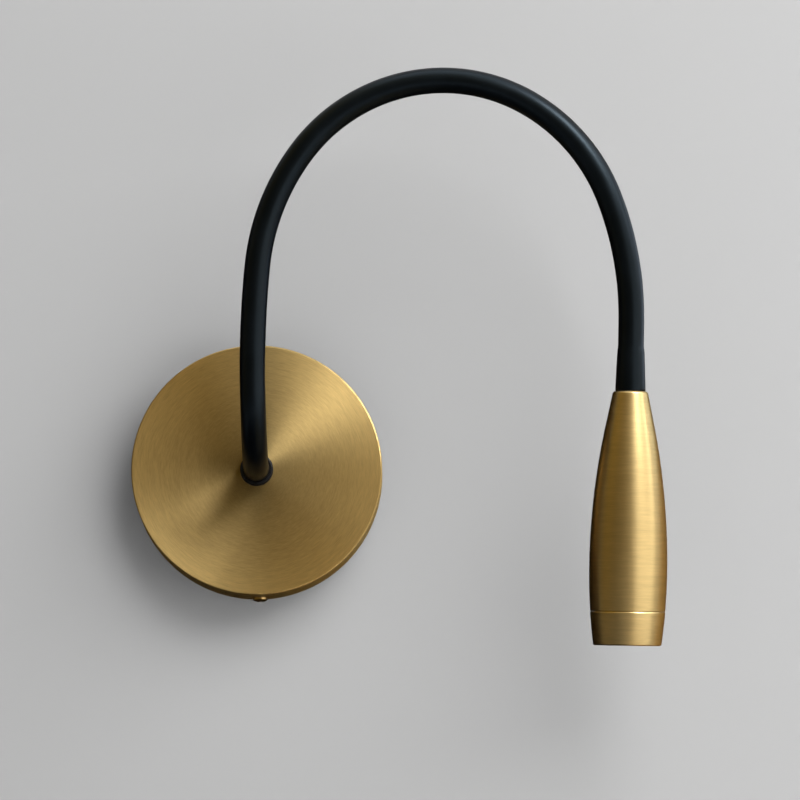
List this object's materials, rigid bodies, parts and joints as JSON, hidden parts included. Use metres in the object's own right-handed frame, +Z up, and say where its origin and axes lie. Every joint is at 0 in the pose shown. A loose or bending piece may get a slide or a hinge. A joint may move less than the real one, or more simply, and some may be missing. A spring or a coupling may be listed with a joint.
{
  "type": "wall reading lamp",
  "caption": "Wall-mounted reading lamp with a round brushed brass canopy, a black flexible neck arching over to one side, and a slim turned brass head pointing down.",
  "frame": {"origin": "middle of the wall screw pattern, on the back face of the mounting bracket, in the wall's plane", "axes": "+Y into the wall, +Z up, +X to the right as seen from the room; the lamp is on the -Y side"},
  "size_m": [0.2133, 0.0813, 0.2297],
  "materials": {
    "brushed_brass": "brushed, satin lacquer",
    "brass_screw": "plain",
    "neck_rubber": "smooth, low sheen",
    "black_rubber": "matte",
    "black_plastic": "satin",
    "white_plastic": "satin",
    "zinc_steel": "zinc plated",
    "aluminium": "turned",
    "circuit_board": "solder mask",
    "wire_brown": "insulation",
    "wire_green": "insulation",
    "lead_red": "insulation",
    "thermal_pad": "soft pad",
    "emitter": "phosphor under a clear dome",
    "clear_lens": "clear"
  },
  "bodies": {
    "base": {"mounting_bracket": "zinc_steel", "cable_grommet": "black_rubber", "earth_ring_terminal": "zinc_steel", "earth_nut": "zinc_steel", "earth_wire": "wire_green", "canopy": "brushed_brass", "canopy_side_screws": "brass_screw", "terminal_block": "white_plastic", "terminal_clamps": "brass_screw", "terminal_screws": "zinc_steel", "terminal_block_screws": "zinc_steel", "supply_wires": "wire_brown", "driver_case": "white_plastic", "driver_lid": "white_plastic", "driver_board": "circuit_board", "driver_components": "black_plastic", "driver_screws": "zinc_steel", "output_leads": "lead_red", "base_ferrule": "zinc_steel", "neck_collar": "black_plastic", "base_lock_washer": "zinc_steel", "base_lock_nut": "zinc_steel", "neck_core_base": "zinc_steel", "neck_sleeve_base": "neck_rubber"},
    "neck_1": {"neck_core_1": "zinc_steel", "neck_sleeve_1": "neck_rubber", "neck_leads_1": "lead_red"},
    "neck_2": {"neck_core_2": "zinc_steel", "neck_sleeve_2": "neck_rubber", "neck_leads_2": "lead_red"},
    "neck_3": {"neck_core_3": "zinc_steel", "neck_sleeve_3": "neck_rubber", "neck_leads_3": "lead_red"},
    "neck_4": {"neck_core_4": "zinc_steel", "neck_sleeve_4": "neck_rubber", "neck_leads_4": "lead_red"},
    "neck_5": {"neck_core_5": "zinc_steel", "neck_sleeve_5": "neck_rubber", "neck_leads_5": "lead_red"},
    "neck_6": {"neck_core_6": "zinc_steel", "neck_sleeve_6": "neck_rubber", "neck_leads_6": "lead_red"},
    "neck_7": {"neck_core_7": "zinc_steel", "neck_sleeve_7": "neck_rubber", "neck_leads_7": "lead_red"},
    "head": {"neck_core_head": "zinc_steel", "neck_sleeve_head": "neck_rubber", "head_leads": "lead_red", "head_ferrule": "zinc_steel", "head_lock_nut": "zinc_steel", "head_shell": "brushed_brass", "front_ring": "brushed_brass", "heat_sink": "aluminium", "thermal_pad": "thermal_pad", "led_board": "aluminium", "led_emitter": "emitter", "board_screws": "zinc_steel", "lens_holder": "black_plastic", "lens": "clear_lens", "lens_seal": "black_rubber"}
  },
  "joints": [
    {"name": "neck_hinge_1", "type": "hinge", "parent": "base", "child": "neck_1", "pos_m": [0, -0.028, 0], "axis": [0, 0, 1], "range_deg": [-15, 15]},
    {"name": "neck_hinge_2", "type": "hinge", "parent": "neck_1", "child": "neck_2", "pos_m": [-0.00048, -0.06225, 0.01825], "axis": [0.9997, 0, 0.0262], "range_deg": [-20, 20]},
    {"name": "neck_hinge_3", "type": "hinge", "parent": "neck_2", "child": "neck_3", "pos_m": [0.00037, -0.06678, 0.06791], "axis": [-0.0367, 0.997, 0.0688], "range_deg": [-20, 20]},
    {"name": "neck_hinge_4", "type": "hinge", "parent": "neck_3", "child": "neck_4", "pos_m": [0.01443, -0.07003, 0.11519], "axis": [-0.8483, -0.0207, 0.5291], "range_deg": [-20, 20]},
    {"name": "neck_hinge_5", "type": "hinge", "parent": "neck_4", "child": "neck_5", "pos_m": [0.0525, -0.073, 0.14585], "axis": [0.0433, 0.9981, 0.0428], "range_deg": [-20, 20]},
    {"name": "neck_hinge_6", "type": "hinge", "parent": "neck_5", "child": "neck_6", "pos_m": [0.10126, -0.07546, 0.14362], "axis": [-0.4035, 0.0283, -0.9146], "range_deg": [-20, 20]},
    {"name": "neck_hinge_7", "type": "hinge", "parent": "neck_6", "child": "neck_7", "pos_m": [0.13676, -0.07596, 0.10978], "axis": [0.0946, 0.992, 0.0836], "range_deg": [-20, 20]},
    {"name": "neck_hinge_8", "type": "hinge", "parent": "neck_7", "child": "head", "pos_m": [0.14866, -0.07298, 0.06166], "axis": [0.9936, -0.1063, 0.0384], "range_deg": [-20, 20]}
  ]
}
